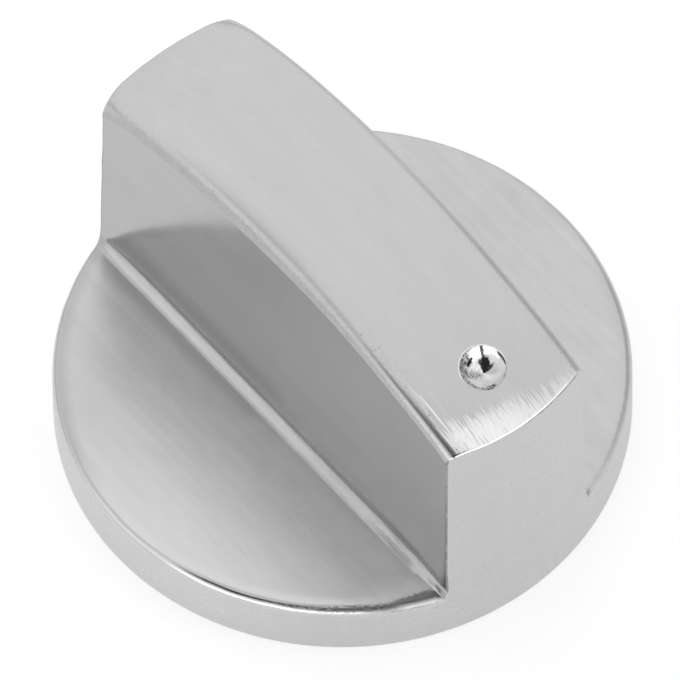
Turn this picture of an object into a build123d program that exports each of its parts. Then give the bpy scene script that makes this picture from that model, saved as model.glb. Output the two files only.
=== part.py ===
# Knob for a gas stove: a round die-cast body with a bar grip across it, hollow underneath, and the
# spring in its hub that grips a D-shaped valve stem.
# Millimetres. The origin is on the knob's turning axis, level with the foot it would stand on.
# +Z runs up the axis to the crown of the grip, and +Y along the grip to the end with the pointer dimple.
from build123d import *
from math import atan2, cos, degrees, radians, sin, sqrt, tan
import os

# Outer form
skirt_diameter = 40.0  # round body at its foot
skirt_height = 4.8  # foot to the flat shelf on each side of the grip
overall_height = 25.1  # foot to the crown of the grip
crown_drop = 3.75  # how far the crown falls from the middle to the round wall
grip_root_width = 13.0  # grip where it meets the shelf
grip_draft = 2.3  # degrees that each side of the grip leans in

# Outer edges
grip_edge_radius = 0.75  # long top edges of the grip
grip_root_radius = 0.8  # hollow corner between grip and shelf
outline_edge_radius = 0.35  # top edge of the round wall, over shelf and grip alike
foot_chamfer = 0.3

# Pointer dimple, a cone sunk square to the crown
dimple_offset = 15.3  # from the turning axis, along the grip
dimple_diameter = 3.2
dimple_depth = 1.05

# Hollow underside
round_wall = 1.9  # the round wall at the foot
shelf_wall = 1.7
grip_wall = 1.7
crown_wall = 2.0
core_draft = 1.0  # degrees that the hollow's round wall leans in
core_chamfer = 1.0  # corners inside the hollow

# Hub and stiffening ribs
hub_diameter = 12.4  # at its mouth
hub_draft = 0.5  # degrees that the hub widens inwards
hub_recess = 0.6  # its mouth is this far above the foot
rib_thickness = 1.4
rib_recess = 1.3  # the ribs start this far above the foot
rib_step = 32.0  # degrees between the three ribs on each side of the grip

# Bore for the valve stem
stem_diameter = 8.0
stem_across_flat = 6.5  # from the stem's flat to its far side
stem_clearance = 0.05  # all round
bore_depth = 18.0  # from the mouth to the blind end
entry_clearance = 0.3  # all round, in the round lead-in
entry_depth = 2.6
entry_chamfer = 0.4

# Hairpin leaf spring behind the flat of the bore
spring_width = 4.2
spring_thickness = 0.4
spring_length = 10.4
spring_bend_radius = 0.3  # inside the hairpin bend
spring_reach = 0.3  # how far its bowed leg stands into the bore
spring_bow_radius = 6.0
spring_tip_setback = 0.3  # how far its free end leans back behind the flat
spring_tip_gap = 0.8  # its free leg is this much shorter than its back leg
slot_side_clearance = 0.2
slot_end_clearance = 0.3

# Worked out from the sizes above
skirt_radius = skirt_diameter / 2
core_radius = skirt_radius - round_wall
shelf_ceiling = skirt_height - shelf_wall
crown_radius = (skirt_radius**2 + crown_drop**2) / (2 * crown_drop)
bore_radius = stem_diameter / 2 + stem_clearance
bore_flat = stem_across_flat - stem_diameter / 2 + stem_clearance
bore_end = hub_recess + bore_depth
entry_radius = stem_diameter / 2 + entry_clearance
entry_end = hub_recess + entry_depth
slot_floor = bore_flat + 2 * (spring_thickness + spring_bend_radius)
slot_width = spring_width + 2 * slot_side_clearance
spring_top = entry_end + spring_length
slot_end = spring_top + slot_end_clearance
overrun = 1.0  # how far a cutting shape runs past what it cuts
upright = (Align.CENTER, Align.CENTER, Align.MIN)  # centred on the axis, standing on its lower end


def drafted_block(foot_radius, draft, low, high):
    # Upright cone frustum; its radius is the given one at foot level and shrinks by the draft above it
    lean = tan(radians(draft))
    low_radius = foot_radius - low * lean
    high_radius = foot_radius - high * lean
    return Pos(0, 0, low) * Cone(low_radius, high_radius, high - low, align=upright)


def grip_outline(inset):
    # Cross-section of the grip alone, or of its core, from under the foot to above the crown
    lean = tan(radians(grip_draft))
    root_half_width = grip_root_width / 2 - inset
    low = -overrun
    high = overall_height + overrun
    low_half_width = root_half_width + (skirt_height - low) * lean
    high_half_width = root_half_width - (high - skirt_height) * lean
    corners = [
        (-low_half_width, low),
        (low_half_width, low),
        (high_half_width, high),
        (-high_half_width, high),
    ]
    return make_face(Polyline(*corners, close=True))


def along_grip(outline):
    # Runs a cross-section through the whole knob along the grip
    return extrude(Plane.XZ * outline, amount=skirt_radius + overrun, both=True)


def under_crown(inset):
    # Everything below the crown, or below a skin of that thickness under it
    reach = skirt_radius + overrun
    top = overall_height - inset
    radius = crown_radius - inset
    end = top - radius + sqrt(radius**2 - reach**2)
    arc = ThreePointArc((-reach, end), (0, top), (reach, end))
    sides = Polyline((reach, end), (reach, -overrun), (-reach, -overrun), (-reach, end))
    return extrude(Plane.YZ * make_face(arc + sides), amount=reach, both=True)


def on_round_wall(edge):
    # True for an edge that lies in the round wall along its whole length
    points = [edge.position_at(share) for share in (0.0, 0.25, 0.5, 0.75, 1.0)]
    return all(abs(sqrt(point.X**2 + point.Y**2) - skirt_radius) < 1e-3 for point in points)


def outer_form():
    # Shelf and grip as one cross-section, so that the hollow corner between them is a fillet of the sketch
    reach = skirt_radius + overrun
    shelf = Pos(0, (skirt_height - overrun) / 2) * Rectangle(2 * reach, skirt_height + overrun)
    outline = shelf + grip_outline(0)
    roots = [v for v in outline.vertices() if abs(v.Y - skirt_height) < 1e-6 and abs(v.X) < skirt_radius]
    outline = fillet(roots, grip_root_radius)
    form = Cylinder(skirt_radius, overall_height, align=upright) & along_grip(outline) & under_crown(0)

    # The long edges come first, which leaves the top edge of the round wall as one smooth loop
    crown_edges = [e for e in form.edges() if e.bounding_box().min.Z > overall_height - crown_drop - 0.1]
    form = fillet([e for e in crown_edges if abs(e.tangent_at(0.5).Y) > 0.5], grip_edge_radius)
    top_loop = [e for e in form.edges() if on_round_wall(e) and e.bounding_box().min.Z > foot_chamfer]
    form = fillet(top_loop, outline_edge_radius)
    return chamfer([e for e in form.edges() if e.bounding_box().max.Z < 1e-6], foot_chamfer)


def dimple():
    # Turned about the crown's own normal where the pointer is
    tilt = atan2(dimple_offset, sqrt(crown_radius**2 - dimple_offset**2))
    centre_height = overall_height - crown_radius + crown_radius * cos(tilt)
    rim = Cylinder(dimple_diameter / 2, overrun, align=upright)
    point = Cone(0, dimple_diameter / 2, dimple_depth, align=(Align.CENTER, Align.CENTER, Align.MAX))
    return Pos(0, crown_radius * sin(tilt), centre_height) * Rot(-degrees(tilt), 0, 0) * (rim + point)


def hollow():
    # Skirt hollow and grip hollow, less the hub and the ribs that stand in them
    skirt_core = drafted_block(core_radius, core_draft, -overrun, shelf_ceiling)
    skirt_core = chamfer([e for e in skirt_core.edges() if e.bounding_box().min.Z > 0], core_chamfer)

    grip_core = drafted_block(core_radius, core_draft, -overrun, overall_height)
    grip_core = grip_core & along_grip(grip_outline(grip_wall)) & under_crown(crown_wall)
    grip_core = chamfer([e for e in grip_core.edges() if e.bounding_box().max.Z > 0], core_chamfer)

    hub = drafted_block(hub_diameter / 2, -hub_draft, hub_recess, overall_height)
    return skirt_core + grip_core - hub - ribs()


def ribs():
    height = shelf_ceiling - rib_recess
    rib = Box(skirt_radius, rib_thickness, height, align=(Align.MIN, Align.CENTER, Align.MIN))
    turned = []
    for side in (0, 180):
        for step in (-1, 0, 1):
            turned.append(Rot(0, 0, side + step * rib_step) * Pos(0, 0, rib_recess) * rib)
    return turned


def stem_bore():
    # D-shaped hole with its flat towards the pointer, a round lead-in and a chamfered mouth
    low = hub_recess - overrun
    flat_cut = Pos(0, bore_flat - bore_radius) * Rectangle(2 * bore_radius, 2 * bore_radius)
    shape = Circle(bore_radius) & flat_cut
    bore = Pos(0, 0, low) * extrude(shape, amount=bore_end - low)
    entry = Pos(0, 0, low) * Cylinder(entry_radius, entry_end - low, align=upright)
    mouth = Cone(entry_radius + entry_chamfer + overrun, entry_radius, entry_chamfer + overrun, align=upright)
    return bore + entry + Pos(0, 0, hub_recess - overrun) * mouth


def spring_slot():
    # Runs from inside the bore to the slot's floor, and from the mouth to just above the spring
    low = hub_recess - overrun
    corner = (Align.CENTER, Align.MIN, Align.MIN)
    return Pos(0, 0, low) * Box(slot_width, slot_floor, slot_end - low, align=corner)


def knob_body():
    return outer_form() - dimple() - hollow() - stem_bore() - spring_slot()


def shaft_spring():
    # Strip bent into a hairpin: the back leg lies on the slot's floor and the bowed leg faces the stem
    half = spring_thickness / 2
    back = slot_floor - half
    front = bore_flat + half
    points = [
        (back, entry_end),
        (back, spring_top - half),
        (front, spring_top - half),
        (front - spring_reach, (entry_end + spring_top) / 2),
        (front + spring_tip_setback, entry_end + spring_tip_gap),
    ]
    bend = spring_bend_radius + half
    path = Plane.YZ * FilletPolyline(*points, radius=[bend, bend, spring_bow_radius])
    start = Plane(origin=(0, back, entry_end), x_dir=(1, 0, 0), z_dir=(0, 0, 1))
    return sweep(start * Rectangle(spring_width, spring_thickness), path)


def main():
    os.makedirs("parts", exist_ok=True)
    for name, piece in (("knob_body", knob_body()), ("shaft_spring", shaft_spring())):
        piece.label = name
        export_step(piece, f"parts/{name}.step")
        print(name, "volume", round(piece.volume), "mm3, size", piece.bounding_box().size)


main()
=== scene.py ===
import bmesh
import bpy
from math import cos, pi, radians, sin
from mathutils import Matrix, Vector


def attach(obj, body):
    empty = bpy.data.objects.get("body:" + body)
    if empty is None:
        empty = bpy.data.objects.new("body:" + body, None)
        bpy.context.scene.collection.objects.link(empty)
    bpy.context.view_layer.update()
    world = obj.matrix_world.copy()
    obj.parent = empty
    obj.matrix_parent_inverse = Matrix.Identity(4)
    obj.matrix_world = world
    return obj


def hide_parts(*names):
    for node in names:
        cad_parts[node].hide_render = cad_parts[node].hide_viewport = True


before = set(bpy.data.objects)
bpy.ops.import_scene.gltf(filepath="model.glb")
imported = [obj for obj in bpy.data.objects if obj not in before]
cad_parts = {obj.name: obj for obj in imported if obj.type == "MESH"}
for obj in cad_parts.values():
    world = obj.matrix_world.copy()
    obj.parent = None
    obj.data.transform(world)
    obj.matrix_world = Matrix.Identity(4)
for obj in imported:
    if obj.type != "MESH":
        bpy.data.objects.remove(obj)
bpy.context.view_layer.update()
print("knob: frame loaded")

# A gas stove's knob: one die-cast body in satin nickel, and the spring in its hub that grips the stem.
# The scene is in metres. The sizes of the body and the spring, and of the patterns on them, are in
# millimetres.
millimetre = 0.001
tiny = 1e-7  # metres; mesh points nearer to each other than this are one point

cameraView = {
    "azimuth": 141.2,        # degrees round, from looking along +Y
    "elevation": 56.97,      # degrees above the shelf
    "roll": -0.56,           # degrees
    "distance": 1.43,        # metres
    "lookAtHeight": 0.010,   # metres above the foot
    "slideRight": -0.000137,
    "slideUp": -0.000961,
    "pixelsPerMetre": 14420.0,
    "imageSize": 680,
    "sensorWidth": 36.0,     # millimetres
    "clipEnd": 10.0,         # metres
}


def addCamera():
    az = radians(cameraView["azimuth"])
    el = radians(cameraView["elevation"])
    roll = radians(cameraView["roll"])
    back = Vector((sin(az) * cos(el), -cos(az) * cos(el), sin(el)))
    right = Vector((cos(az), sin(az), 0.0))
    up = back.cross(right)
    right, up = cos(roll) * right + sin(roll) * up, cos(roll) * up - sin(roll) * right
    place = back * cameraView["distance"] + right * cameraView["slideRight"] + up * cameraView["slideUp"]
    place.z += cameraView["lookAtHeight"]
    data = bpy.data.cameras.new("camera")
    data.sensor_width = cameraView["sensorWidth"]
    imageWidth = cameraView["imageSize"] / cameraView["pixelsPerMetre"]  # at the knob, in metres
    data.lens = data.sensor_width * cameraView["distance"] / imageWidth
    data.clip_end = cameraView["clipEnd"]
    camera = bpy.data.objects.new("camera", data)
    camera.matrix_world = Matrix.Translation(place) @ Matrix((right, up, back)).transposed().to_4x4()
    bpy.context.scene.collection.objects.link(camera)
    bpy.context.scene.camera = camera


# A number or vector in a node tree, so that the formulas below can be written as plain sums
class Sum:
    def __init__(self, tree, socket):
        self.tree = tree
        self.socket = socket

    def __add__(self, other): return calc(self.tree, "ADD", self, other)
    def __radd__(self, other): return calc(self.tree, "ADD", other, self)
    def __sub__(self, other): return calc(self.tree, "SUBTRACT", self, other)
    def __rsub__(self, other): return calc(self.tree, "SUBTRACT", other, self)
    def __mul__(self, other): return calc(self.tree, "MULTIPLY", self, other)
    def __rmul__(self, other): return calc(self.tree, "MULTIPLY", other, self)
    def __truediv__(self, other): return calc(self.tree, "DIVIDE", self, other)
    def __pow__(self, other): return calc(self.tree, "POWER", self, other)
    def __neg__(self): return calc(self.tree, "MULTIPLY", self, -1.0)
    def __abs__(self): return calc(self.tree, "ABSOLUTE", self)
    def __gt__(self, other): return calc(self.tree, "GREATER_THAN", self, other)
    def __lt__(self, other): return calc(self.tree, "LESS_THAN", self, other)
    def atLeast(self, other): return calc(self.tree, "MAXIMUM", self, other)
    def root(self): return calc(self.tree, "SQRT", self)
    def tan(self): return calc(self.tree, "TANGENT", self)
    def sin(self): return calc(self.tree, "SINE", self)
    def cos(self): return calc(self.tree, "COSINE", self)

    def share(self, low, high, between="LINEAR"):
        # 0 below low, 1 above high
        ends = {"Value": self, "From Min": low, "From Max": high}
        node = addNode(self.tree, "ShaderNodeMapRange", ends, interpolation_type=between)
        return Sum(self.tree, node.outputs[0])

    def soft(self, low, high): return self.share(low, high, "SMOOTHSTEP")
    def fade(self, low, high): return 1.0 - self.soft(low, high)

    def stretch(self, start, full, fading, gone):
        # 0 before start and after gone, 1 from full to fading
        return self.soft(start, full) * self.fade(fading, gone)


def plug(tree, socket, value):
    if isinstance(value, Sum):
        tree.links.new(value.socket, socket)
    elif isinstance(value, bpy.types.NodeSocket):
        tree.links.new(value, socket)
    else:
        socket.default_value = value


def calc(tree, operation, *values):
    node = tree.nodes.new("ShaderNodeMath")
    node.operation = operation
    for socket, value in zip(node.inputs, values):
        plug(tree, socket, value)
    return Sum(tree, node.outputs[0])


def vectorCalc(tree, operation, *values):
    node = tree.nodes.new("ShaderNodeVectorMath")
    node.operation = operation
    for socket, value in zip(node.inputs, values):
        plug(tree, socket, value)
    return Sum(tree, node.outputs["Value" if operation == "DOT_PRODUCT" else "Vector"])


def addNode(tree, kind, inputs=None, **settings):
    node = tree.nodes.new(kind)
    for name, value in settings.items():
        setattr(node, name, value)
    for name, value in (inputs or {}).items():
        plug(tree, node.inputs[name], value)
    return node


def scaled(tree, vector, factor):
    node = addNode(tree, "ShaderNodeVectorMath", {0: vector, "Scale": factor}, operation="SCALE")
    return Sum(tree, node.outputs["Vector"])


def combined(tree, x, y, z):
    return Sum(tree, addNode(tree, "ShaderNodeCombineXYZ", {"X": x, "Y": y, "Z": z}).outputs[0])


def separated(tree, vector):
    return [Sum(tree, output) for output in addNode(tree, "ShaderNodeSeparateXYZ", {0: vector}).outputs]


def fromAxis(x, y):
    return (x * x + y * y).root()


def turnedTo(x, y):
    # Radians round from +X
    return calc(x.tree, "ARCTAN2", y, x)


def offFrom(turned, heading):
    # Radians between two headings, either way
    return abs(calc(turned.tree, "WRAP", turned - heading, pi, -pi))


studio = {
    "sky": 0.95,                # the pale tent all round
    "patches": (                # towards, degrees from middle to edge, degrees of soft edge, level
        ((0.42, -0.43, 0.80), 17.0, 12.0, 0.66),    # the tent's dimmer side
        ((0.25, 0.50, 0.83), 26.0, 4.0, 0.025),     # the dark gap that the camera looks through
        ((0.56, 0.05, 0.82), 12.0, 4.0, 0.05),      # and more of it, to its left
        ((-0.05, 0.80, 0.60), 8.0, 3.0, 0.08),      # and to its right
        ((-0.90, 0.00, 0.42), 25.0, 14.0, 0.55),    # shade on the far side
        ((-0.36, 0.42, 0.83), 7.0, 4.0, 1.25),      # a small bright lamp
    ),
    # round towards, half width in degrees, soft degrees, lower and upper height, soft height, level
    "bands": (
        (60.0, 62.0, 10.0, 0.08, 0.41, 0.05, 2.2),    # the low bright strip
        (0.0, 181.0, 0.5, -0.06, 0.04, 0.02, 0.25),   # the gap between table and tent
        (70.0, 6.0, 4.0, 0.05, 0.75, 0.05, 0.10),     # the stand of the camera
    ),
    "floorSide": 0.5,           # metres from the middle
    "floorColour": 0.56,
    "floorLiftSeen": 0.62,      # what makes the floor white in the picture
    "floorLiftMirrored": 0.44,  # and in the metal
}


def addWorld():
    world = bpy.data.worlds.new("studio")
    world.use_nodes = True
    tree = world.node_tree
    tree.nodes.clear()
    towards = addNode(tree, "ShaderNodeTexCoord").outputs["Generated"]
    x, y, z = separated(tree, towards)
    level = calc(tree, "ADD", studio["sky"], 0.0)  # as a Sum, which the bands and patches then change
    for heading, halfWidth, softAngle, low, high, softHeight, bandLevel in studio["bands"]:
        off = offFrom(turnedTo(x, y), radians(heading))
        band = off.fade(radians(halfWidth - softAngle), radians(halfWidth + softAngle))
        band = band * z.soft(low - softHeight, low + softHeight)
        band = band * z.fade(high - softHeight, high + softHeight)
        level = level + band * (bandLevel - level)
    for way, angle, soft, patchLevel in studio["patches"]:
        near = vectorCalc(tree, "DOT_PRODUCT", towards, tuple(Vector(way).normalized()))
        away = calc(tree, "ARCCOSINE", calc(tree, "MINIMUM", near, 0.99999))  # a hair under 1, to stay real
        patch = away.fade(radians(angle - soft), radians(angle + soft))
        level = level + patch * (patchLevel - level)
    seen = Sum(tree, addNode(tree, "ShaderNodeLightPath").outputs["Is Camera Ray"])
    level = level + seen * (1.0 - level)
    background = addNode(tree, "ShaderNodeBackground", {"Color": (1, 1, 1, 1), "Strength": level})
    output = addNode(tree, "ShaderNodeOutputWorld")
    tree.links.new(background.outputs[0], output.inputs["Surface"])
    bpy.context.scene.world = world
    bpy.context.scene.view_settings.view_transform = "Standard"


def addFloor():
    side = studio["floorSide"]
    mesh = bpy.data.meshes.new("floor")
    corners = [(-side, -side, 0), (side, -side, 0), (side, side, 0), (-side, side, 0)]
    mesh.from_pydata(corners, [], [(0, 1, 2, 3)])
    floor = bpy.data.objects.new("floor", mesh)
    bpy.context.scene.collection.objects.link(floor)
    material = bpy.data.materials.new("paleFloor")
    material.use_nodes = True
    tree = material.node_tree
    tree.nodes.clear()
    shade = studio["floorColour"]
    paint = addNode(tree, "ShaderNodeBsdfDiffuse", {"Color": (shade, shade, shade, 1)})
    path = addNode(tree, "ShaderNodeLightPath")
    seen = Sum(tree, path.outputs["Is Camera Ray"])
    mirrored = calc(tree, "MAXIMUM", path.outputs["Is Glossy Ray"], path.outputs["Is Transmission Ray"])
    lift = seen * studio["floorLiftSeen"] + mirrored * studio["floorLiftMirrored"]
    glow = addNode(tree, "ShaderNodeEmission", {"Color": (1, 1, 1, 1), "Strength": lift})
    both = addNode(tree, "ShaderNodeAddShader")
    tree.links.new(paint.outputs[0], both.inputs[0])
    tree.links.new(glow.outputs[0], both.inputs[1])
    output = addNode(tree, "ShaderNodeOutputMaterial")
    tree.links.new(both.outputs[0], output.inputs["Surface"])
    floor.data.materials.append(material)


def noiseOf(vector, detail=2.0, roughness=0.5, scale=1.0):
    inputs = {"Vector": vector, "Scale": scale, "Detail": detail, "Roughness": roughness}
    return Sum(vector.tree, addNode(vector.tree, "ShaderNodeTexNoise", inputs).outputs[0])


def mixedColour(factor, low, high):
    # Sockets 6, 7 and 2 are the Mix node's own for colours
    node = addNode(factor.tree, "ShaderNodeMix", {0: factor}, data_type="RGBA")
    plug(factor.tree, node.inputs[6], low)
    plug(factor.tree, node.inputs[7], high)
    return Sum(factor.tree, node.outputs[2])


def grey(level):
    return (level, level, level, 1.0)


# a darker share of the nickel's grey, for painted shade
def paintedShadeGrey(share):
    return grey(nickel["tone"] * share)


def newGroup(name, inputs, outputs, kind="ShaderNodeTree"):
    # Inputs are named numbers with their defaults, or None for a vector
    group = bpy.data.node_groups.new(name, kind)
    for label, value in inputs.items():
        kind = "NodeSocketVector" if value is None else "NodeSocketFloat"
        socket = group.interface.new_socket(label, in_out="INPUT", socket_type=kind)
        if value is not None:
            socket.default_value = value
    special = {"Colour": "NodeSocketColor", "Geometry": "NodeSocketGeometry"}
    for label in outputs:
        kind = special.get(label, "NodeSocketFloat")
        group.interface.new_socket(label, in_out="OUTPUT", socket_type=kind)
    group.nodes.new("NodeGroupInput")
    group.nodes.new("NodeGroupOutput")
    given = {label: Sum(group, group.nodes["Group Input"].outputs[label]) for label in inputs}
    return group, given


def putOut(group, label, value):
    plug(group, group.nodes["Group Output"].inputs[label], value)


def brushLinesGroup():
    # Fine scratches, streaks and slow drifts, all drawn out along the vector's Y, which is in millimetres
    group, given = newGroup("brushLines", {
        "Vector": None,
        "Fine Pitch": 0.20, "Fine Length": 7.0,
        "Streak Pitch": 0.5, "Streak Length": 12.0,
        "Drift Pitch": 2.4, "Drift Length": 26.0,
    }, ["Fine", "Streak", "Drift"])
    x, y, z = separated(group, given["Vector"])
    for label, detail in (("Fine", 2.0), ("Streak", 2.0), ("Drift", 1.0)):
        pitch = given[label + " Pitch"]
        stretched = combined(group, x / pitch, y / given[label + " Length"], z / pitch)
        putOut(group, label, noiseOf(stretched, detail) - 0.5)
    return group


def pittingGroup():
    # Small dark pits, sparse; the vector is in millimetres
    inputs = {"Vector": None, "Spacing": 0.35, "Size": 0.07, "Share": 0.3}
    group, given = newGroup("castPits", inputs, ["Pits"])
    spread = scaled(group, given["Vector"], calc(group, "DIVIDE", 1.0, given["Spacing"]))
    node = addNode(group, "ShaderNodeTexVoronoi", {"Vector": spread, "Scale": 1.0})
    away = Sum(group, node.outputs["Distance"]) * given["Spacing"]
    chosen = calc(group, "LESS_THAN", separated(group, node.outputs["Color"])[0], given["Share"])
    putOut(group, "Pits", away.fade(given["Size"] * 0.4, given["Size"]) * chosen)
    return group


def useGroup(tree, group, inputs):
    node = tree.nodes.new("ShaderNodeGroup")
    node.node_tree = group
    for name, value in inputs.items():
        plug(tree, node.inputs[name], value)
    return {output.name: Sum(tree, output) for output in node.outputs}


def attributeOf(tree, name):
    node = tree.nodes.new("ShaderNodeAttribute")
    node.attribute_name = name
    return Sum(tree, node.outputs["Fac"])


nickel = {
    "tone": 0.62,
    # painted light: the round wall's grey is paler than the crown's
    "litWallTone": 0.67,
    "sideShadeShare": 0.88,           # painted shade: the grip's sides are darker, as a share of the crown's
    "shelfRougher": 0.02,
    "roughness": 0.27,
    "sideRoughness": 0.15,
    "edgeRoughness": 0.14,
    "anisotropy": 0.4,
    "grooveDepth": 0.000012,    # metres
    "paintedDarkGrey": 0.10,          # grey of painted shade and dark reflections along edges
    "pit": 0.16,
    "bareMetalAndHighlight": 0.98,             # grey of bare bright metal, and of painted highlights
    "combFrom": 16.6,           # millimetres along the grip: the bright comb of scratches and painted highlight starts here
    "combFull": 19.4,
    "combSlant": 0.16,
    "bowlRipple": 0.00002,      # metres
    "castGrain": 0.00005,
    "stripGrain": 0.000008,
}


def newMetal(name, anisotropy=0.0):
    material = bpy.data.materials.new(name)
    material.use_nodes = True
    tree = material.node_tree
    shader = tree.nodes["Principled BSDF"]
    shader.inputs["Metallic"].default_value = 1.0
    shader.inputs["Anisotropic"].default_value = anisotropy
    shader.inputs["Anisotropic Rotation"].default_value = 0.25  # a quarter turn
    coordinates = addNode(tree, "ShaderNodeTexCoord").outputs["Object"]
    return material, tree, shader, scaled(tree, coordinates, 1.0 / millimetre)


def finish(tree, shader, colour, roughness, height, depth):
    plug(tree, shader.inputs["Base Color"], colour)
    plug(tree, shader.inputs["Roughness"], roughness)
    bump = addNode(tree, "ShaderNodeBump", {"Height": height, "Strength": 1.0, "Distance": depth})
    tree.links.new(bump.outputs[0], shader.inputs["Normal"])


def edgeShadeAndWearGroup():
    # Painted shade and dark reflections along the grip's edges and the round wall's rim, a painted highlight
    # on the rim, and how far the rim is worn dull or bright, for its roughness
    group, given = newGroup("edgeShadeAndWear", {
        "Vector": None, "Outline Turn": 0.0, "Edge Turn": 0.0, "Root Turn": 0.0,
    }, ["Painted Dark", "Glint", "Dulled", "Rubbed"])
    turn = given["Outline Turn"]
    x, y, z = separated(group, given["Vector"])
    heading = turnedTo(x, y)
    broken = noiseOf(scaled(group, given["Vector"], 0.9), 4.0, 0.7).soft(0.38, 0.62)
    nicked = noiseOf(scaled(group, given["Vector"], 3.0), 3.0, 0.6).soft(0.44, 0.58)
    onGrip = given["Root Turn"].fade(0.0, 0.3)
    onShelf = given["Root Turn"].soft(0.8, 1.0)
    onSide = given["Edge Turn"].soft(0.5, 0.9)

    # painted shade: a thin line down the upright edges, and a nicked one under the top edge beside the
    # pointer
    upright = turn.stretch(0.0, 0.12, 0.45, 0.65) * onGrip * onSide
    seen = x.soft(-4.0, 2.0).atLeast(z.soft(16.0, 20.0))
    upright = upright * seen
    along = x.stretch(-5.7, -4.6, -2.0, 2.0) * y.soft(12.0, 15.0)
    top = turn.stretch(0.62, 0.80, 0.94, 1.0) * (1.0 - onSide) * along
    # a thin painted dark reflection along the rim, ragged further on, and a blot of it beside the grip; the
    # heading is in radians from +X
    ragged = heading.soft(0.70, 0.95)
    before = heading.fade(1.25, 1.35)
    blot = heading.soft(1.03, 1.15) * (1.0 - heading.soft(1.17, 1.25) * 0.6)
    blot = blot * before
    line = heading.soft(0.20, 0.45) * (0.35 + ragged * (nicked * 0.6 - 0.1)) * before
    out = fromAxis(x, y) - bodySizes["Skirt Spread"]
    out = out - nicked * ragged * 0.10 + ragged * 0.12 + blot * (0.20 + broken * 0.16)
    rim = out.soft(19.34, 19.48) * turn.fade(0.40, 0.55) * onShelf
    rim = rim * line.atLeast(blot.soft(0.05, 0.40) * (0.95 - nicked * 0.25))
    # painted highlight: a bright line on the rim's rounding beside the grip
    glint = turn.soft(0.06, 0.24) * onShelf * heading.soft(1.04, 1.12) * before
    dark = upright * (0.45 + broken * 0.45) + top * (0.25 + nicked * 0.75) + rim * 0.85
    putOut(group, "Painted Dark", dark)
    putOut(group, "Glint", glint)
    putOut(group, "Dulled", heading.stretch(0.55, 0.80, 1.05, 1.16) * (0.5 + nicked))
    putOut(group, "Rubbed", 1.0 - abs(heading - 0.40).soft(0.45, 0.85))
    return group


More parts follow.
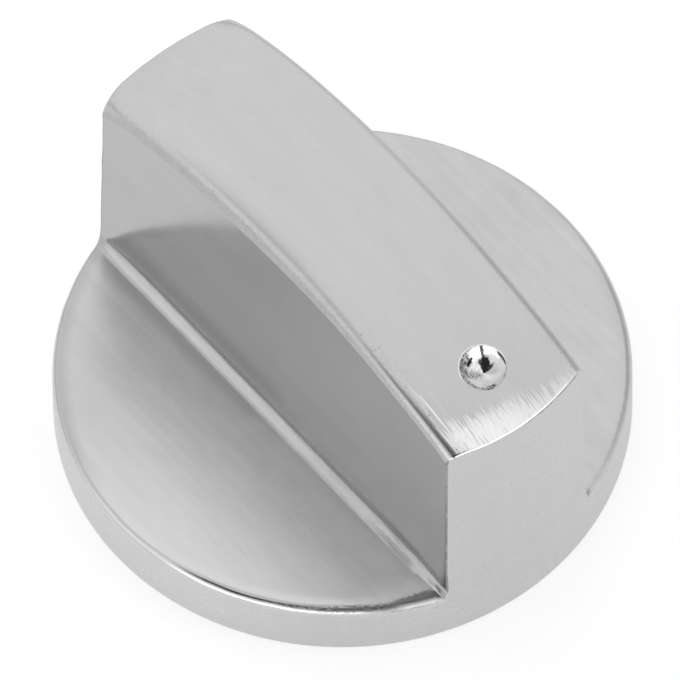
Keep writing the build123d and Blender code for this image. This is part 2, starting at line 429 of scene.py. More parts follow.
def gripFinishGroup(brushLines, castPits, edgeShadeAndWear):
    # Satin nickel brushed along the grip, with the wear of its edges, and with painted light and shade
    group, given = newGroup("gripFinish", {
        "Vector": None, "Tone": nickel["tone"], "Base Roughness": nickel["roughness"],
        "Edge Turn": 0.0, "Outline Turn": 0.0, "Root Turn": 0.0,
    }, ["Colour", "Roughness", "Height"])
    place = given["Vector"]
    edgeTurn = given["Edge Turn"]
    rootTurn = given["Root Turn"]
    outlineTurn = given["Outline Turn"]
    x, y, z = separated(group, place)
    side = abs(x)
    lines = useGroup(group, brushLines, {"Vector": place})
    pits = useGroup(group, castPits, {"Vector": place})["Pits"]
    mottle = noiseOf(vectorCalc(group, "MULTIPLY", place, (1.1, 0.45, 1.1)), 3.0) - 0.5
    clouds = noiseOf(vectorCalc(group, "MULTIPLY", place, (0.45, 0.15, 0.45)), 3.0) - 0.5
    high = z.soft(17.0, 19.0)
    onShelf = z.fade(5.0, 5.4)

    # the worn end by the pointer: a comb of bright scratches with a painted highlight on them, and a few long
    # ones beside a long edge
    combReach = (y + x * nickel["combSlant"]).soft(nickel["combFrom"], nickel["combFull"])
    hairs = noiseOf(combined(group, x * 7.5, y * 0.5, 0.0), 1.0) - 0.5
    clumps = noiseOf(combined(group, x * 0.8, y * 0.25, 3.0), 1.0) - 0.5
    comb = (combReach * 0.80 + hairs * 1.5 + clumps * 0.4).soft(0.36, 0.70)
    comb = comb * (0.2 + 0.8 * combReach) * y.soft(15.6, 17.4)
    comb = comb * (0.42 + x.soft(-4.5, 4.0) * 0.68)
    beside = x.soft(4.0, 4.8) * y.soft(11.0, 15.5)
    scratch = noiseOf(combined(group, x * 5.5, y * 0.16, 7.0), 1.0).soft(0.56, 0.66)
    bright = comb.atLeast(scratch * beside * 0.8) * high
    bright = bright * edgeTurn.fade(0.05, 0.25)

    # pits along the long edges, and painted shade along them in blotches
    plainHalf = y.fade(4.0, 10.0)
    nearEdge = (side - plainHalf * 0.6).soft(4.3, 5.2) * high
    nearEdge = nearEdge * (edgeTurn - plainHalf * 0.28).fade(0.5, 0.75)
    grains = noiseOf(vectorCalc(group, "MULTIPLY", place, (4.5, 3.0, 4.5)), 2.0) - 0.5
    edgeShade = (mottle * 0.5 + grains).soft(-0.02, 0.16) * nearEdge
    edgeShade = edgeShade * (0.5 + x.soft(-1.0, 1.0) * 0.5)
    pits = pits * nearEdge

    tone = 0.5 + lines["Streak"] * 0.45 + lines["Drift"] * 0.55 + lines["Fine"] * 0.2 + mottle * 0.45
    tone = tone + (clouds * 1.1 + lines["Streak"] * 0.5 + mottle * 0.6) * onShelf
    colour = scaled(group, mixedColour(tone, grey(0.93), grey(1.07)), given["Tone"])
    colour = mixedColour(edgeShade * 0.24, colour, paintedShadeGrey(0.66))
    # painted shade: a darker, grainy strip along the long edge towards the pointer
    nearStrip = edgeTurn.stretch(0.40, 0.65, 0.9, 1.0)
    nearStrip = nearStrip * y.soft(2.0, 9.0) * high
    colour = mixedColour(nearStrip * (0.35 + grains * 1.4), colour, paintedShadeGrey(0.74))
    # painted shade: the long edge is darker along its plain half, down to its lower part
    lowEdge = edgeTurn.stretch(0.35, 0.70, 0.90, 0.999)
    lowEdge = lowEdge * plainHalf * high * x.soft(-1.0, 1.0)
    colour = mixedColour(lowEdge * (0.42 + grains * 0.5), colour, paintedShadeGrey(0.70))
    # painted light: the shelf on the lamp's side is painted brighter outwards
    paintedLitShelf = x.soft(7.5, 13.0) * y.soft(-12.0, 3.0) * onShelf
    paintedLitShelf = paintedLitShelf * 0.30 + onShelf * x.soft(6.0, 8.0) * 0.13
    colour = mixedColour(paintedLitShelf, colour, grey(0.92))
    # painted shade: the bevel under the grip is darker at the pointer's end
    bevel = rootTurn.stretch(0.1, 0.3, 0.8, 1.0)
    bevel = bevel * y.soft(-4.0, 12.0) * (0.5 + mottle)
    colour = mixedColour(bevel, colour, paintedShadeGrey(0.75))
    # painted shade: both of its borders are darker than its middle
    flanks = 1.0 - rootTurn.stretch(0.05, 0.36, 0.62, 0.95)
    flanks = flanks * rootTurn.stretch(0.0, 0.08, 0.96, 1.0)
    colour = mixedColour(flanks * 0.32, colour, paintedShadeGrey(0.60))
    # painted shade: the lower half of the bevel is darker for a stretch there
    lowBevelShade = (y + grains * 1.5).soft(10.0, 13.5)
    lowBevelShade = lowBevelShade * (y + grains * 1.2).fade(15.3, 16.1)
    lowBevelShade = lowBevelShade * rootTurn.fade(0.93, 1.0)
    lowBevelShade = lowBevelShade * (rootTurn + grains * 0.25).soft(0.46, 0.64)
    colour = mixedColour(lowBevelShade * 0.85, colour, paintedShadeGrey(0.56))
    # painted shade in the corner under the grip
    corner = side.stretch(6.7, 7.1, 7.2, 8.4)
    corner = corner * (y + mottle * 6.0).fade(-3.0, 3.0) * onShelf
    colour = mixedColour(corner * 0.45, colour, paintedShadeGrey(0.62))
    colour = mixedColour(bright, colour, grey(nickel["bareMetalAndHighlight"]))
    colour = mixedColour(pits * 0.6, colour, grey(nickel["pit"]))
    marks = useGroup(group, edgeShadeAndWear, {
        "Vector": place, "Edge Turn": edgeTurn, "Outline Turn": outlineTurn, "Root Turn": rootTurn,
    })
    # painted shade and dark reflections along the edges
    colour = mixedColour(marks["Painted Dark"], colour, grey(nickel["paintedDarkGrey"]))
    # painted highlight on the rim's rounding
    colour = mixedColour(marks["Glint"], colour, grey(nickel["bareMetalAndHighlight"]))
    # painted shade: a soft darker border where the shelf meets the rim, except where the rim is worn bright
    border = fromAxis(x, y).soft(18.7, 19.7) * onShelf * (1.0 - marks["Rubbed"])
    border = border * (0.02 + x.soft(-2.0, 2.0) * 0.48)
    colour = mixedColour(border, colour, paintedShadeGrey(0.66))
    # painted highlight: the dimple's lip is painted bright on its upper side
    lipY = (y - bodySizes["Dimple Offset"]) * 1.04
    lipOut = fromAxis(x, lipY) / bodySizes["Dimple Radius"]
    lip = lipOut.soft(0.98, 1.0) * (lipOut + grains * 0.08).fade(1.01, 1.05)
    lip = lip * high
    lip = lip * (0.0 - lipY - x * 0.15).soft(-0.5, 0.4)
    colour = mixedColour(lip * 0.9, colour, grey(0.95))

    # the outline's edge is polished, but not the upright edges of the grip's ends, which are painted darker
    # as shade
    onGrip = rootTurn.fade(0.2, 0.8)
    upright = edgeTurn.soft(0.2, 0.9) * onGrip
    atOutline = outlineTurn.soft(0.0, 0.2)
    atOutline = atOutline * (1.0 - onShelf * (1.0 - marks["Rubbed"]) * 0.7)
    colour = mixedColour(atOutline * upright * 0.55, colour, paintedShadeGrey(0.70))
    level = given["Base Roughness"] + rootTurn.soft(0.9, 1.0) * nickel["shelfRougher"]
    level = level + lines["Fine"] * 0.04 + mottle * 0.04
    level = level + marks["Painted Dark"] * (0.12 + mottle * 0.5)
    level = level + atOutline * (1.0 - upright) * (nickel["edgeRoughness"] - level)
    level = level + edgeTurn.stretch(0.2, 0.5, 0.8, 1.0) * 0.06
    level = level + marks["Dulled"] * atOutline * onShelf * 0.28
    level = level + marks["Glint"] * (0.42 - level)
    putOut(group, "Colour", colour)
    putOut(group, "Roughness", level)
    height = lines["Fine"] * (0.06 + bright * 0.6) + lines["Streak"] * 0.4 + mottle * 0.5 - pits * 0.6
    putOut(group, "Height", height)
    return group


def satinAlong(name, toneShare, roughness, anisotropy, grooves):
    # Brushed along the grip
    material, tree, shader, place = newMetal(name, anisotropy)
    tree.links.new(combined(tree, 0.0, 1.0, 0.0).socket, shader.inputs["Tangent"])
    made = useGroup(tree, gripFinish, {
        "Vector": place, "Tone": nickel["tone"] * toneShare, "Base Roughness": roughness,
        "Edge Turn": attributeOf(tree, "edgeTurn"),
        "Outline Turn": attributeOf(tree, "outlineTurn"),
        "Root Turn": attributeOf(tree, "rootTurn"),
    })
    finish(tree, shader, made["Colour"], made["Roughness"], made["Height"], nickel["grooveDepth"] * grooves)
    return material


def satinRound(name):
    # Brushed round the wall: the pattern is laid out by angle and height
    material, tree, shader, place = newMetal(name, nickel["anisotropy"])
    around = addNode(tree, "ShaderNodeTangent", direction_type="RADIAL", axis="Z")
    tree.links.new(around.outputs[0], shader.inputs["Tangent"])
    x, y, z = separated(tree, place)
    turned = turnedTo(x, y)
    unrolled = combined(tree, z, turned * bodySizes["Body Radius"], 0.0)
    lines = useGroup(tree, brushLines, {"Vector": unrolled})
    mottle = noiseOf(vectorCalc(tree, "MULTIPLY", place, (0.5, 0.5, 0.35)), 3.0) - 0.5
    nicks = noiseOf(vectorCalc(tree, "MULTIPLY", place, (2.4, 2.4, 0.9)), 3.0)
    nicks = nicks.soft(0.70, 0.80)
    outlineTurn = attributeOf(tree, "outlineTurn")
    tone = 0.5 + lines["Streak"] * 0.2 + lines["Drift"] * 0.4 + lines["Fine"] * 0.12 + mottle * 0.7
    colour = mixedColour(tone, grey(nickel["litWallTone"] * 0.95), grey(nickel["litWallTone"] * 1.05))
    colour = mixedColour(nicks * 0.35, colour, grey(0.80))
    # painted light: the lower wall is painted brighter, least at headings past 1 radian from +X
    low = z.fade(2.5, 7.5) * (1.0 - turned.soft(0.2, 1.0) * 0.85)
    colour = mixedColour(low * 0.42, colour, grey(0.86))
    marks = useGroup(tree, edgeShadeAndWear, {
        "Vector": place, "Outline Turn": outlineTurn,
        "Edge Turn": attributeOf(tree, "edgeTurn"), "Root Turn": attributeOf(tree, "rootTurn"),
    })
    # painted shade and dark reflections along the rim and edges
    colour = mixedColour(marks["Painted Dark"], colour, grey(nickel["paintedDarkGrey"]))
    level = nickel["roughness"] + lines["Fine"] * 0.04 + mottle * 0.06
    polished = outlineTurn.fade(0.85, 1.0) * (0.25 + marks["Rubbed"] * 0.75)
    level = level + polished * (nickel["edgeRoughness"] - level)
    level = level + marks["Dulled"] * outlineTurn.fade(0.85, 1.0) * 0.14
    height = lines["Fine"] * 0.08 + lines["Streak"] * 0.16 + mottle * 0.3
    finish(tree, shader, colour, level, height, nickel["grooveDepth"])
    return material


def brightBowl(name):
    # Bright, with tool rings, and painted dark reflections in the bowl
    material, tree, shader, place = newMetal(name)
    x, y, z = separated(tree, place)
    y = y - bodySizes["Dimple Offset"]
    out = fromAxis(x, y)
    turned = turnedTo(x, y)
    around = combined(tree, turned.cos() * 1.3, turned.sin() * 1.3, out * 6.0)
    rings = noiseOf(around, 3.0) - 0.5
    ripple = noiseOf(scaled(tree, place, 2.6), 3.0) - 0.5
    crumbs = noiseOf(combined(tree, x * 5.0, y * 5.0, out * 9.0), 2.0) - 0.5
    out = out / bodySizes["Dimple Radius"]

    def patch(heading, half, low, high):
        # a ragged piece of a ring: its heading and half width in degrees, and how far out it starts and ends
        off = offFrom(turned, radians(heading))
        wide = 1.0 - (off + crumbs * 0.5).soft(radians(half) * 0.6, radians(half) * 1.2)
        deep = (out + rings * 0.14).soft(low - 0.04, low + 0.04)
        return wide * deep * (out + crumbs * 0.16).fade(high - 0.04, high + 0.04)

    # painted dark reflections in the bowl: grey ones to the left and below, very dark in three corners
    paintedGreyReflection = patch(-58.0, 36.0, 0.66, 1.2).atLeast(patch(18.0, 48.0, 0.74, 1.2))
    upper = patch(77.0, 18.0, 0.62, 0.98) * (crumbs + rings).soft(-0.10, 0.02)
    paintedDarkReflection = patch(176.0, 24.0, 0.91, 1.2).atLeast(upper)
    paintedDarkReflection = paintedDarkReflection.atLeast(patch(-72.0, 17.0, 0.58, 0.70))
    # rings show most below and to the left, and the right side is rougher and painted darker as shade
    ringed = (x - y).soft(-0.5, 0.9)
    rougherAndShaded = (y - x * 0.6).soft(0.1, 0.9)
    colour = mixedColour(0.5 + ripple + rings * (0.5 + ringed * 4.5), grey(0.66), grey(0.94))
    colour = mixedColour(rougherAndShaded * 0.8, colour, grey(0.69))
    colour = mixedColour(paintedGreyReflection * (0.55 + crumbs * 4.5 + rings * 2.5), colour, grey(0.16))
    colour = mixedColour(paintedDarkReflection, colour, grey(0.006))
    level = 0.05 + paintedGreyReflection * 0.25 + rougherAndShaded * 0.15
    finish(tree, shader, colour, level, ripple * 0.7 + rings * 0.4, nickel["bowlRipple"])
    return material


def platedCasting(name):
    # The hollow: as cast, then plated thinly
    material, tree, shader, place = newMetal(name)
    grain = noiseOf(scaled(tree, place, 4.0), 4.0) - 0.5
    cloud = noiseOf(scaled(tree, place, 0.35), 2.0) - 0.5
    colour = mixedColour(0.5 + grain * 0.4 + cloud * 0.9, grey(0.44), grey(0.58))
    finish(tree, shader, colour, 0.45 + grain * 0.15 + cloud * 0.1, grain, nickel["castGrain"])
    return material


def springSteel(name):
    material, tree, shader, place = newMetal(name, 0.3)
    x, y, z = separated(tree, place)
    lines = useGroup(tree, brushLines, {"Vector": combined(tree, x, z, y)})
    colour = mixedColour(0.5 + lines["Streak"], (0.44, 0.45, 0.47, 1), (0.54, 0.55, 0.57, 1))
    finish(tree, shader, colour, 0.24 + lines["Fine"] * 0.1, lines["Fine"], nickel["stripGrain"])
    return material


bodySizes = {                       # millimetres
    "Body Radius": 20.0,
    "Shelf Height": 4.8,
    "Crown Height": 25.1,
    "Crown Fall": 3.60,             # of the plain arch at the round wall
    "Worn End": 2.4,                # the last stretch of the crown, which turns down a little more
    "Worn Fall": 0.12,
    "Crown Half Width": 5.95,
    "Crown Flare": 0.08,            # how much wider the crown is at its ends
    "Root Half Width": 6.20,
    "Root Flare": 0.02,
    "Long Edge Radius": 0.78,
    "Root Leg": 0.59,               # the corner between grip and shelf is nearly a flat bevel
    "Root Handle": 0.08,            # and this round at both its edges
    "Rim Radius": 0.52,
    "Corner Radius": 0.32,          # upright edges of the grip's ends
    "End Radius": 0.28,
    "Foot Radius": 0.42,
    "Edge Wear": 0.52,              # how far the long edges have sunk, most at the plain end
    "Corner Wear": 0.40,
    "Rim Wear": 0.09,
    "Root Taper": 0.62,             # how much the bevel under the grip narrows at its ends
    "Skirt Spread": 0.20,           # the round wall leans in: wider by this up to the shelf
    "Crown Draw": 0.10,             # and narrower by this at the crown
    "Dimple Offset": 15.39,
    "Dimple Radius": 1.70,
    "Dimple Depth": 1.08,
}

hollow = {                          # millimetres; what of the CAD body counts as its inside
    "Radius": 18.3,
    "Under Crown": 1.2,
    "Crown Bend": 110.0,            # the crown's fall is the distance from the middle squared over this
    "Grip Half Width": 5.3,
    "Shelf Top": 3.5,
}

wear = {                            # how the body departs from its drawing: millimetres and shares
    "plainEnd": (4.0, 19.0),        # from the middle towards the plain end, none to most
    "pointerEnd": (0.0, 13.0),
    "upper": (12.0, 18.0),          # heights
    "edgeReach": 2.0,               # width of the worn strip along the long edges
    "cornerReach": 1.9,
    "endFrom": 16.4,
    "endReach": 2.4,
    "endSink": 0.2,
    "rimFrom": 18.7,
    "besideHeadings": (0.85, 1.15, 1.3, 1.5),   # radians; beside the grip at the pointer's end
    "besideFrom": 17.4,
    "besideReach": 2.3,
    "besideSink": 0.30,
    "rootTaper": (15.2, 19.8),      # from the middle along the grip
    "lean": 0.12,
    "narrower": 0.012,
    "slowWave": 0.03,
    "edgeWave": 0.09,
    "rootWave": 0.10,
    "rootWaveMore": 0.12,           # towards the pointer's end
}

rootSteepness = 1.12                # the bevel under the grip is this much taller than wide
endShare = 0.945                    # the grip's ends are about this share of the radius from the axis
bodyCrease = 32.0                   # degrees between two faces that make the edge between them sharp
bodyCells = {"crown": 22, "longEdge": 10, "side": 18, "root": 10, "shelf": 46}
lengthCells = {"along": 64, "outline": 8, "wall": 14, "foot": 5, "under": 1}
crowding = {"crown": 1.4, "shelf": 1.25, "along": 1.6, "wall": 1.3}     # powers; cells narrow towards edges


def then(tree, source, kind, inputs=None, **settings):
    # The next node that the geometry goes through
    node = addNode(tree, "GeometryNode" + kind, inputs, **settings)
    tree.links.new(source.outputs[0], node.inputs[0])
    return node


def painted(tree, source, finishName, faces=None):
    inputs = {"Material": finishes[finishName]}
    if faces is not None:
        inputs["Selection"] = faces
    return then(tree, source, "SetMaterial", inputs)


def switched(tree, isAfter, before, after):
    inputs = {"Switch": isAfter, "False": before, "True": after}
    return Sum(tree, addNode(tree, "GeometryNodeSwitch", inputs, input_type="VECTOR").outputs[0])


def position(tree):
    return Sum(tree, tree.nodes.new("GeometryNodeInputPosition").outputs[0])


def stored(tree, name):
    node = addNode(tree, "GeometryNodeInputNamedAttribute", {"Name": name}, data_type="FLOAT")
    return Sum(tree, node.outputs[0])


def realInMetres(tree, source):
    return then(tree, then(tree, source, "Transform", {"Scale": (millimetre,) * 3}), "RealizeInstances")


def runTree(tree, name, sizes):
    # A plain mesh object from the tree's result
    empty = bpy.data.objects.new(name + "Maker", bpy.data.meshes.new(name + "Maker"))
    bpy.context.scene.collection.objects.link(empty)
    modifier = empty.modifiers.new(name, "NODES")
    modifier.node_group = tree
    for item in tree.interface.items_tree:
        if item.in_out == "INPUT":
            modifier[item.identifier] = sizes[item.name]
    graph = bpy.context.evaluated_depsgraph_get()
    mesh = bpy.data.meshes.new_from_object(empty.evaluated_get(graph), depsgraph=graph)
    mesh.name = name
    empty.modifiers.remove(modifier)
    bpy.data.objects.remove(empty)
    piece = bpy.data.objects.new(name, mesh)
    bpy.context.scene.collection.objects.link(piece)
    return piece


def quarterShell(tree, given):
    # One quarter of the outside: a flat grid is bent into section lines that run along the grip,
    # over its end and down the round wall, with one rolling-ball edge along the whole outline
    crossCells = sum(bodyCells.values())
    downCells = sum(lengthCells.values())
    grid = addNode(tree, "GeometryNodeMeshGrid", {
        "Size X": float(crossCells), "Size Y": float(downCells),
        "Vertices X": crossCells + 1, "Vertices Y": downCells + 1})
    gridX, gridY, _ = separated(tree, position(tree))
    across = gridX + crossCells / 2
    down = gridY + downCells / 2

    def part(value, cells, name):
        # How far a grid line is through one stretch, from 0 to 1
        start = 0
        for label, count in cells.items():
            if label == name:
                return value.share(float(start), float(start + count))
            start += count

    radius = given["Body Radius"]
    shelf = given["Shelf Height"]
    edge = given["Long Edge Radius"]
    leg = given["Root Leg"]
    rise = leg * rootSteepness
    handle = given["Root Handle"]
    archRadius = (radius * radius + given["Crown Fall"] * given["Crown Fall"]) / (2.0 * given["Crown Fall"])
    wornStart = radius - given["Worn End"]

    onCrown = 1.0 - (1.0 - part(across, bodyCells, "crown")) ** crowding["crown"]
    onEdge = part(across, bodyCells, "longEdge")
    onSide = 0.5 - 0.5 * (part(across, bodyCells, "side") * pi).cos()
    onRoot = part(across, bodyCells, "root")
    onShelf = part(across, bodyCells, "shelf") ** crowding["shelf"]
    station = 1.0 - (1.0 - part(down, lengthCells, "along")) ** crowding["along"]
    onOutline = part(down, lengthCells, "outline")
    onWall = part(down, lengthCells, "wall") ** crowding["wall"]
    onFoot = part(down, lengthCells, "foot")
    under = part(down, lengthCells, "under")

    # outline edge: its radius differs over the crown's end, down the upright edges and round the rim
    ball = given["End Radius"] + (given["Corner Radius"] - given["End Radius"]) * onCrown ** 6.0
    ball = ball + (given["Rim Radius"] - given["Corner Radius"]) * onRoot

    def crownHeight(y):
        worn = (y - wornStart).atLeast(0.0) / given["Worn End"]
        arch = archRadius - (archRadius * archRadius - y * y).root()
        return given["Crown Height"] - arch - given["Worn Fall"] * worn * worn

    def crownSlope(y):
        worn = (y - wornStart).atLeast(0.0) / given["Worn End"]
        arch = y / (archRadius * archRadius - y * y).root()
        return arch + 2.0 * given["Worn Fall"] * worn / given["Worn End"]

    # the bevel's weights: a cubic curve with short handles
    rest = 1.0 - onRoot
    bend1 = 3.0 * rest * rest * onRoot
    bend2 = 3.0 * rest * onRoot * onRoot
    bend3 = onRoot * onRoot * onRoot

    def bevelFacing(lean):
        # the bevel's angle from straight up
        run = 3.0 * rest * rest * handle * lean.sin()
        run = run + 6.0 * rest * onRoot * (leg - handle - handle * lean.sin())
        run = run + 3.0 * onRoot * onRoot * handle
        drop = 3.0 * rest * rest * handle * lean.cos()
        drop = drop + 6.0 * rest * onRoot * (rise - handle * lean.cos())
        return calc(tree, "ARCTAN2", drop, run)

    def section(station):
        # Half width along the section line, and what its height needs
        spread = station * station
        crownHalf = given["Crown Half Width"] + given["Crown Flare"] * spread
        rootHalf = given["Root Half Width"] + given["Root Flare"] * spread
        tall = crownHeight(station * radius * endShare) - shelf
        lean = calc(tree, "ARCTAN2", rootHalf - crownHalf, tall)
        turn = pi / 2 - lean
        tangent = (turn * 0.5).tan()
        shelfStart = rootHalf - rise * lean.tan() + leg
        shelfRadius = radius - ball
        startAngle = calc(tree, "ARCCOSINE", shelfStart / shelfRadius)
        x = (crownHalf - edge * tangent) * onCrown
        x = x + edge * (turn * onEdge).sin()
        sideRun = rootHalf - crownHalf - edge * tangent * lean.sin() - rise * lean.tan()
        x = x + sideRun * onSide
        x = x + handle * lean.sin() * bend1 + (leg - handle) * bend2 + leg * bend3
        x = x + shelfRadius * (startAngle * (1.0 - onShelf)).cos() - shelfStart
        return x, lean, turn, tangent

    # where each section line ends: the rolling ball touches the round wall there
    atEnd = calc(tree, "ADD", 1.0, 0.0)  # the last station, as a Sum
    endX, endLean, endTurn, _ = section(atEnd)
    facing = endTurn * (onEdge - 1.0) + bevelFacing(endLean)
    ballX = endX - ball * facing.sin()
    inner = radius - ball
    reach = (inner * inner - ballX * ballX).atLeast(0.0).root()
    slope = crownSlope(reach) * (1.0 - onSide)
    steep = facing.cos() * slope
    size = (1.0 + steep * steep).root()
    normal = combined(tree, facing.sin() / size, steep / size, facing.cos() / size)
    endY = reach + ball * steep / size

    # the surface itself
    y = station * endY
    x, lean, turn, tangent = section(station)
    top = crownHeight(y)
    z = top - edge * (1.0 - (turn * onEdge).cos())
    z = z - (top - shelf - edge * tangent * lean.cos() - rise) * onSide
    z = z - handle * lean.cos() * bend1 - rise * (bend2 + bend3)

    # from its end, the ball's arc to the wall, the wall and the foot
    endPoint = combined(tree, x, y, z)
    centre = vectorCalc(tree, "SUBTRACT", endPoint, scaled(tree, normal, ball))
    centreX, centreY, centreZ = separated(tree, centre)
    outward = vectorCalc(tree, "NORMALIZE", combined(tree, centreX, centreY, 0.0))
    mixed = vectorCalc(tree, "ADD", scaled(tree, normal, 1.0 - onOutline), scaled(tree, outward, onOutline))
    mixed = vectorCalc(tree, "NORMALIZE", mixed)
    arcPoint = vectorCalc(tree, "ADD", centre, scaled(tree, mixed, ball))
    foot = given["Foot Radius"]
    wallZ = centreZ - (centreZ - foot) * onWall - foot * (onFoot * (pi / 2)).sin()
    wallOut = radius - foot * (1.0 - (onFoot * (pi / 2)).cos())
    wallOut = wallOut * (1.0 - under)
    wallPoint = vectorCalc(tree, "ADD", scaled(tree, outward, wallOut), combined(tree, 0.0, 0.0, wallZ))

    alongEnd = float(lengthCells["along"])
    outlineEnd = alongEnd + lengthCells["outline"]
    spot = switched(tree, (down > alongEnd + 0.5), endPoint, arcPoint)
    spot = switched(tree, (down > outlineEnd + 0.5), spot, wallPoint)

    # the materials read how far round each of the three edges a point is
    kept = grid
    for label, value in (("outlineTurn", onOutline), ("edgeTurn", onEdge), ("rootTurn", onRoot)):
        inputs = {"Name": label, "Value": value}
        kept = then(tree, kept, "StoreNamedAttribute", inputs, data_type="FLOAT", domain="POINT")
    sideStart = bodyCells["crown"] + bodyCells["longEdge"]
    sideEnd = float(sideStart + bodyCells["side"])
    sideFaces = (across > sideStart - 1.0) * (across < sideEnd)
    wallFaces = (down > alongEnd + lengthCells["outline"] / 2)
    shell = painted(tree, kept, "satin")
    shell = painted(tree, shell, "side", sideFaces)
    shell = painted(tree, shell, "wall", wallFaces)
    return then(tree, shell, "SetPosition", {"Position": spot})


def mirrored(tree, source, scale):
    # The source and its mirror image, with the image's faces turned back out
    image = then(tree, then(tree, source, "Transform", {"Scale": scale}), "FlipFaces")
    both = tree.nodes.new("GeometryNodeJoinGeometry")
    tree.links.new(source.outputs[0], both.inputs[0])
    tree.links.new(image.outputs[0], both.inputs[0])
    return both


def dimpleCutter(tree, given):
    # A pointed bowl turned about the crown's normal, closed above the crown
    ringCells = 72
    depthCells = 14
    grid = addNode(tree, "GeometryNodeMeshGrid", {
        "Size X": float(ringCells), "Size Y": float(depthCells + 2),
        "Vertices X": ringCells + 1, "Vertices Y": depthCells + 3})
    gridX, gridY, _ = separated(tree, position(tree))
    angle = (gridX + ringCells / 2) * (2 * pi / ringCells)
    row = gridY + (depthCells + 2) / 2
    outwards = row.share(0.0, float(depthCells))
    wall = row.share(float(depthCells), float(depthCells + 1))
    lid = row.share(float(depthCells + 1), float(depthCells + 2))
    ring = given["Dimple Radius"] * outwards * (1.0 - lid)
    # flat at the point, steep at the rim, and drilled a little askew
    depth = -given["Dimple Depth"] * (1.0 - 0.66 * outwards - 0.34 * outwards * outwards * outwards)
    height = depth + wall * 0.6 + 0.04
    askew = (1.0 - outwards) * (1.0 - lid)
    pointX = ring * angle.cos() - askew * 0.14
    pointY = ring * angle.sin() + askew * 0.17
    moved = then(tree, grid, "SetPosition", {"Position": combined(tree, pointX, pointY, height)})
    merged = then(tree, moved, "MergeByDistance", {"Distance": 0.001})
    fall = given["Crown Fall"]
    arch = (given["Body Radius"] * given["Body Radius"] + fall * fall) / (2.0 * fall)
    tilt = calc(tree, "ARCSINE", given["Dimple Offset"] / arch)
    up = given["Crown Height"] - arch + arch * tilt.cos()
    spot = combined(tree, 0.0, given["Dimple Offset"], up)
    turn = combined(tree, -tilt, 0.0, 0.0)
    turned = then(tree, merged, "Transform", {"Translation": spot, "Rotation": turn})
    return painted(tree, turned, "dimple")


def worn(tree, given, source):
    # Hand polishing rounds the long edges and the corners, most at the plain end, and leaves nothing straight
    place = position(tree)
    normal = tree.nodes.new("GeometryNodeInputNormal").outputs[0]
    outline = stored(tree, "outlineTurn")
    corner = stored(tree, "rootTurn")
    outline = outline * (1.0 - outline) * 4.0
    corner = corner * (1.0 - corner) * 4.0
    x, y, z = separated(tree, place)
    side = abs(x)
    along = abs(y)
    out = fromAxis(x, y)

    def past(value, start, reach):
        # 0 up to start, 1 where it is reach past it
        return (value - start).atLeast(0.0) / reach

    plainEnd = (0.0 - y).soft(*wear["plainEnd"])
    pointerEnd = y.soft(*wear["pointerEnd"])
    leftSide = x.soft(-1.0, 1.0)
    crownHalf = given["Crown Half Width"]
    reach = past(side, crownHalf - wear["edgeReach"], wear["edgeReach"])
    sunk = given["Edge Wear"] * (1.0 - pointerEnd * 0.85) * (0.12 + leftSide * 0.88) * reach * reach
    sunk = sunk + (0.0 - y).soft(11.0, 19.0) * wear["endSink"]
    cornerReach = past(side, crownHalf - wear["cornerReach"], wear["cornerReach"])
    cornerReach = cornerReach * past(along, wear["endFrom"], wear["endReach"])
    sunk = sunk + given["Corner Wear"] * (0.15 + plainEnd * 0.85) * cornerReach * cornerReach
    sunk = sunk * z.soft(*wear["upper"])
    # the rim sinks a little all round, and more beside the grip at the pointer's end
    onShelf = z.stretch(2.0, 4.0, 4.9, 5.2)
    rimReach = past(out, wear["rimFrom"], 1.0)
    beside = turnedTo(x, y).stretch(*wear["besideHeadings"]) * wear["besideSink"]
    besideReach = past(out, wear["besideFrom"], wear["besideReach"])
    rimSunk = given["Rim Wear"] * rimReach * rimReach + beside * besideReach * besideReach
    sunk = sunk + rimSunk * onShelf
    # the bevel under the grip tapers into the corners of the grip's ends
    taper = given["Root Taper"] * along.soft(*wear["rootTaper"])
    over = z - given["Shelf Height"]
    beyond = side - given["Root Half Width"]
    inBevel = (over < given["Root Leg"] * rootSteepness + 0.01)
    inBevel = inBevel * (beyond < given["Root Leg"] + 0.02)
    inBevel = inBevel * (beyond > -0.05) * (z > 1.0)
    sunk = sunk + over.atLeast(0.0) * taper * inBevel
    pulled = beyond.atLeast(0.0) * taper * inBevel * z.soft(2.0, 4.3)
    pulled = pulled * calc(tree, "SIGN", x)
    # the grip is a little narrower at its plain end and leans over at the pointer's
    onGrip = z.soft(5.2, 8.0)
    shift = (pointerEnd * pointerEnd * wear["lean"] - x * plainEnd * wear["narrower"]) * onGrip
    spread = z.soft(2.0, 23.0) * (given["Skirt Spread"] + given["Crown Draw"])
    spread = (given["Skirt Spread"] - spread) * out.soft(14.0, 19.5) / out
    slow = noiseOf(place, 1.0, scale=0.22) - 0.5
    quick = noiseOf(place, 2.0, scale=0.9) - 0.5
    rootWave = wear["rootWave"] + y.soft(6.0, 16.0) * wear["rootWaveMore"]
    amount = slow * wear["slowWave"] + quick * (outline * wear["edgeWave"] + corner * rootWave)
    waved = scaled(tree, normal, amount * z.soft(0.3, 1.0))
    moved = combined(tree, shift + x * spread - pulled, y * spread + pulled * x / y, 0.0 - sunk)
    return then(tree, source, "SetPosition", {"Offset": vectorCalc(tree, "ADD", waved, moved)})


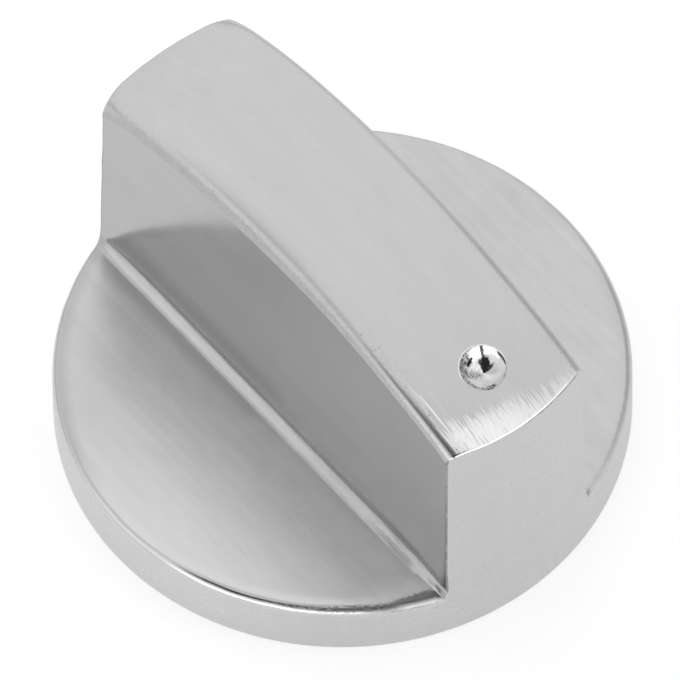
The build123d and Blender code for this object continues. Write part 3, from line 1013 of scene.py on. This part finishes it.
def bodyTree():
    tree, given = newGroup("knobShell", bodySizes, ["Geometry"], "GeometryNodeTree")
    half = mirrored(tree, quarterShell(tree, given), (-1.0, 1.0, 1.0))
    whole = mirrored(tree, half, (1.0, -1.0, 1.0))
    closed = then(tree, whole, "MergeByDistance", {"Distance": 0.0005})
    cut = addNode(tree, "GeometryNodeMeshBoolean", operation="DIFFERENCE")
    tree.links.new(worn(tree, given, closed).outputs[0], cut.inputs["Mesh 1"])
    tree.links.new(dimpleCutter(tree, given).outputs[0], cut.inputs["Mesh 2"])
    smooth = then(tree, cut, "SetShadeSmooth", {"Shade Smooth": True})
    putOut(tree, "Geometry", realInMetres(tree, smooth).outputs[0])
    return tree


def sharpen(made, degreesApart):
    for edge in made.edges:
        edge.smooth = not edge.is_manifold or edge.calc_face_angle() < radians(degreesApart)


def insideOfCasting():
    # The hollow, hub, ribs and bore, from a merged copy of the CAD node
    source = bmesh.new()
    source.from_mesh(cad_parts["knob_body"].data)
    bmesh.ops.remove_doubles(source, verts=source.verts, dist=tiny)
    outer = []
    for face in source.faces:
        spot = face.calc_center_median() / millimetre
        ceiling = bodySizes["Crown Height"] - spot.y ** 2 / hollow["Crown Bend"] - hollow["Under Crown"]
        isInside = Vector((spot.x, spot.y)).length < hollow["Radius"] and spot.z < ceiling
        isInside = isInside and (abs(spot.x) < hollow["Grip Half Width"] or spot.z < hollow["Shelf Top"])
        isFoot = all(abs(vertex.co.z) < 10 * tiny for vertex in face.verts)
        if isFoot or not isInside:
            outer.append(face)
    bmesh.ops.delete(source, geom=outer, context="FACES")
    return source


def joinInside(piece, inside):
    # The shell's lid under the foot goes, and a flat ring closes the gap to the hollow
    castSlot = len(piece.data.materials)
    piece.data.materials.append(finishes["cast"])
    kept = bpy.data.meshes.new("hollow")
    for face in inside.faces:
        face.material_index = castSlot
        face.smooth = True
    inside.to_mesh(kept)
    inside.free()
    shell = bmesh.new()
    shell.from_mesh(piece.data)
    lid = [face for face in shell.faces if all(abs(vertex.co.z) < tiny for vertex in face.verts)]
    bmesh.ops.delete(shell, geom=lid, context="FACES")
    shell.from_mesh(kept)
    rims = [edge for edge in shell.edges if len(edge.link_faces) == 1]
    ring = bmesh.ops.triangle_fill(shell, use_beauty=True, use_dissolve=False, edges=rims)
    for face in ring["geom"]:
        if isinstance(face, bmesh.types.BMFace):
            face.material_index = castSlot
            face.smooth = True
    bmesh.ops.recalc_face_normals(shell, faces=shell.faces)
    sharpen(shell, bodyCrease)
    shell.to_mesh(piece.data)
    shell.free()
    bpy.data.meshes.remove(kept)


def dropEmptySlot(piece):
    # The boolean leaves an empty first slot
    if piece.data.materials[0] is None:
        slots = [polygon.material_index - 1 for polygon in piece.data.polygons]
        piece.data.materials.pop(index=0)
        for polygon, slot in zip(piece.data.polygons, slots):
            polygon.material_index = slot


def addBody():
    piece = runTree(bodyTree(), "satinBody", bodySizes)
    dropEmptySlot(piece)
    joinInside(piece, insideOfCasting())
    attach(piece, "root")
    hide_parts("knob_body")
    print("knob: body", len(piece.data.polygons), "faces")


springSizes = {                     # millimetres
    "Strip Width": 4.2,
    "Strip Thickness": 0.4,
    "Corner Radius": 0.08,
    "Bend Radius": 0.5,
    "Bow Radius": 6.0,
    "Back": 3.75,
    "Front": 2.75,
    "Reach": 0.3,
    "Tip Setback": 0.3,
    "Low End": 3.2,
    "Tip End": 4.0,
    "Top": 13.4,
}

springCrease = 40.0                 # degrees between two faces that make the edge between them sharp
bendCells = 10                      # round each bend of the hairpin
stripEdgeCells = 4                  # round each long edge of the strip


def springTree():
    # A rounded strip swept along the hairpin's centre line
    tree, given = newGroup("springSolid", springSizes, ["Geometry"], "GeometryNodeTree")
    back, front, top = given["Back"], given["Front"], given["Top"]
    points = [
        (back, given["Low End"]),
        (back, top),
        (front, top),
        (front - given["Reach"], (given["Low End"] + top + given["Strip Thickness"] * 0.5) * 0.5),
        (front + given["Tip Setback"], given["Tip End"]),
    ]
    line = addNode(tree, "GeometryNodeMeshLine", {"Count": len(points)})
    index = Sum(tree, tree.nodes.new("GeometryNodeInputIndex").outputs[0])
    place = combined(tree, 0.0, points[0][0], points[0][1])
    for number, (y, z) in list(enumerate(points))[1:]:
        place = switched(tree, (index > number - 0.5), place, combined(tree, 0.0, y, z))
    curve = then(tree, then(tree, line, "SetPosition", {"Position": place}), "MeshToCurve")
    isBow = (index > 2.5)
    bend = given["Bend Radius"] + (given["Bow Radius"] - given["Bend Radius"]) * isBow
    bends = {"Count": bendCells, "Radius": bend, "Limit Radius": False}
    rounded = then(tree, curve, "FilletCurve", bends, mode="POLY")
    strip = {"Width": given["Strip Width"], "Height": given["Strip Thickness"]}
    outline = addNode(tree, "GeometryNodeCurvePrimitiveQuadrilateral", strip)
    edges = {"Count": stripEdgeCells, "Radius": given["Corner Radius"]}
    outline = then(tree, outline, "FilletCurve", edges, mode="POLY")
    swept = then(tree, rounded, "CurveToMesh", {"Profile Curve": outline.outputs[0], "Fill Caps": True})
    real = realInMetres(tree, then(tree, swept, "SetShadeSmooth"))
    putOut(tree, "Geometry", painted(tree, real, "spring").outputs[0])
    return tree


def addSpring():
    piece = runTree(springTree(), "shaftSpring", springSizes)
    made = bmesh.new()
    made.from_mesh(piece.data)
    bmesh.ops.remove_doubles(made, verts=made.verts, dist=tiny)
    bmesh.ops.recalc_face_normals(made, faces=made.faces)
    sharpen(made, springCrease)
    made.to_mesh(piece.data)
    made.free()
    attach(piece, "root")
    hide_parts("shaft_spring")
    print("knob: spring", len(piece.data.polygons), "faces")


addCamera()
addWorld()
addFloor()
print("knob: camera and studio made")
brushLines = brushLinesGroup()
castPits = pittingGroup()
edgeShadeAndWear = edgeShadeAndWearGroup()
gripFinish = gripFinishGroup(brushLines, castPits, edgeShadeAndWear)

finishes = {
    "satin": satinAlong("satinNickel", 1.0, nickel["roughness"], nickel["anisotropy"], 1.0),
    # the grip's sides: the satin nickel with painted shade
    "side": satinAlong("satinNickelSide", nickel["sideShadeShare"], nickel["sideRoughness"], 0.0, 0.25),
    "wall": satinRound("satinNickelWall"),
    "dimple": brightBowl("brightNickel"),
    "cast": platedCasting("platedCasting"),
    "spring": springSteel("springSteel"),
}
print("knob: finishes made")
addBody()
addSpring()
